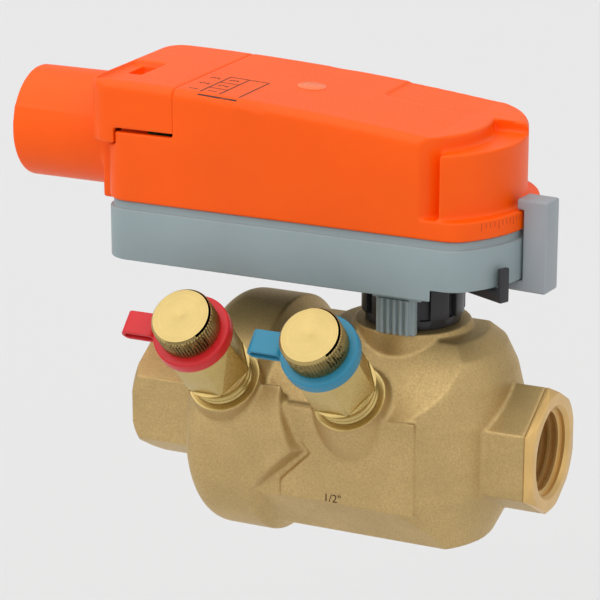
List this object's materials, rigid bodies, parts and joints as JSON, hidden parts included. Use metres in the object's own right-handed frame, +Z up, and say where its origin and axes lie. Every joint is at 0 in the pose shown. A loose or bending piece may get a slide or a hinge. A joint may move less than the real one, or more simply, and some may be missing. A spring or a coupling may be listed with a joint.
{
  "type": "motorized valve actuator",
  "caption": "Motorized actuator with conduit connector on a brass pressure-independent control valve with capped test ports, a setting pointer and a flow end stop.",
  "frame": {"origin": "centre of the inlet port's open face", "axes": "+X along the pipe from inlet to outlet, +Z up the valve stem to the actuator, -Y to the side with the test ports"},
  "size_m": [0.1313, 0.0776, 0.1083],
  "materials": {
    "cast_brass": "sandblasted",
    "machined_brass": "turned",
    "orange_plastic": "fine texture",
    "grey_plastic": "fine texture",
    "clip_plastic": "smooth",
    "black_plastic": "smooth",
    "red_rubber": "smooth",
    "blue_rubber": "smooth",
    "seal_rubber": "matt",
    "steel": "satin",
    "chromed_ball": "polished",
    "seat_plastic": "smooth",
    "gear_plastic": "natural",
    "board_green": "lacquered",
    "terminal_plastic": "smooth"
  },
  "bodies": {
    "valve_and_housing": {"valve_body": "cast_brass", "inlet_connector": "cast_brass", "connector_seal": "seal_rubber", "regulator_seat": "machined_brass", "regulator_sleeve": "steel", "clamp_ring": "machined_brass", "diaphragm": "seal_rubber", "seat_upstream": "seat_plastic", "seat_downstream": "seat_plastic", "flow_disc": "steel", "ball_retainer": "machined_brass", "stem_gland": "machined_brass", "coupling_crown": "black_plastic", "base_housing": "grey_plastic", "cover_seal": "seal_rubber", "top_cover": "orange_plastic", "gear_axles": "steel", "gear_plate": "steel", "plate_screws": "steel", "motor": "steel", "circuit_board": "board_green", "terminal_block": "terminal_plastic", "terminal_screws": "steel", "board_parts": "black_plastic", "cover_screws": "steel", "supply_test_plug": "machined_brass", "supply_plug_core": "seal_rubber", "supply_tether": "red_rubber", "return_test_plug": "machined_brass", "return_plug_core": "seal_rubber", "return_tether": "blue_rubber"},
    "stem_rotor": {"ball": "chromed_ball", "valve_stem": "machined_brass", "stem_seals": "seal_rubber", "output_hub": "black_plastic", "pointer": "black_plastic"},
    "second_gear_body": {"second_gear": "gear_plastic"},
    "first_gear_body": {"first_gear": "gear_plastic"},
    "motor_rotor": {"motor_pinion": "machined_brass"},
    "end_stop": {"end_stop_clip": "clip_plastic"},
    "terminal_lid": {"terminal_cover": "orange_plastic"},
    "poppet_body": {"poppet": "steel", "regulator_spring": "steel"},
    "supply_gasket_body": {"supply_cap_gasket": "seal_rubber"},
    "supply_cap_body": {"supply_cap": "machined_brass"},
    "return_gasket_body": {"return_cap_gasket": "seal_rubber"},
    "return_cap_body": {"return_cap": "machined_brass"}
  },
  "joints": [
    {"name": "stem_turn", "type": "hinge", "parent": "valve_and_housing", "child": "stem_rotor", "pos_m": [0.066, 0, 0.04], "axis": [0, 0, 1], "range_deg": [-19, 10.8]},
    {"name": "second_gear_turn", "type": "hinge", "parent": "valve_and_housing", "child": "second_gear_body", "pos_m": [0.0452, 0, 0.05], "axis": [0, 0, 1], "range_deg": [-38, 65]},
    {"name": "first_gear_turn", "type": "hinge", "parent": "valve_and_housing", "child": "first_gear_body", "pos_m": [0.02941, 0.00575, 0.054], "axis": [0, 0, 1], "range_deg": [-204, 117]},
    {"name": "motor_turn", "type": "hinge", "parent": "valve_and_housing", "child": "motor_rotor", "pos_m": [0.03461, -0.00854, 0.056], "axis": [0, 0, 1], "range_deg": [-324, 569]},
    {"name": "end_stop_set", "type": "hinge", "parent": "valve_and_housing", "child": "end_stop", "pos_m": [0.066, 0, 0.05], "axis": [0, 0, 1], "range_deg": [0, 50]},
    {"name": "terminal_cover_slide", "type": "slide", "parent": "valve_and_housing", "child": "terminal_lid", "axis": [-1, 0, 0], "range_m": [0, 0.03]},
    {"name": "poppet_slide", "type": "slide", "parent": "valve_and_housing", "child": "poppet_body", "axis": [1, 0, 0], "range_m": [0, 0.002], "stiffness_N_per_m": 4000, "springref_m": -0.002, "deforming": ["regulator_spring"]},
    {"name": "supply_cap_lift", "type": "slide", "parent": "valve_and_housing", "child": "supply_gasket_body", "axis": [0, -0.7071, 0.7071], "range_m": [0, 0.0038]},
    {"name": "supply_cap_turn", "type": "hinge", "parent": "supply_gasket_body", "child": "supply_cap_body", "pos_m": [0.03, -0.0244, 0.0151], "axis": [0, -0.7071, 0.7071], "range_deg": [0, 1080]},
    {"name": "return_cap_lift", "type": "slide", "parent": "valve_and_housing", "child": "return_gasket_body", "axis": [0, -0.7071, 0.7071], "range_m": [0, 0.0038]},
    {"name": "return_cap_turn", "type": "hinge", "parent": "return_gasket_body", "child": "return_cap_body", "pos_m": [0.061, -0.0244, 0.0151], "axis": [0, -0.7071, 0.7071], "range_deg": [0, 1080]}
  ],
  "couplings": [
    {"joint": "second_gear_turn", "follows": "stem_turn", "ratio": -3.3333},
    {"joint": "first_gear_turn", "follows": "stem_turn", "ratio": 10.667},
    {"joint": "motor_turn", "follows": "stem_turn", "ratio": -29.867},
    {"joint": "supply_cap_turn", "follows": "supply_cap_lift", "rad_per_m": 4947.4},
    {"joint": "return_cap_turn", "follows": "return_cap_lift", "rad_per_m": 4947.4}
  ]
}
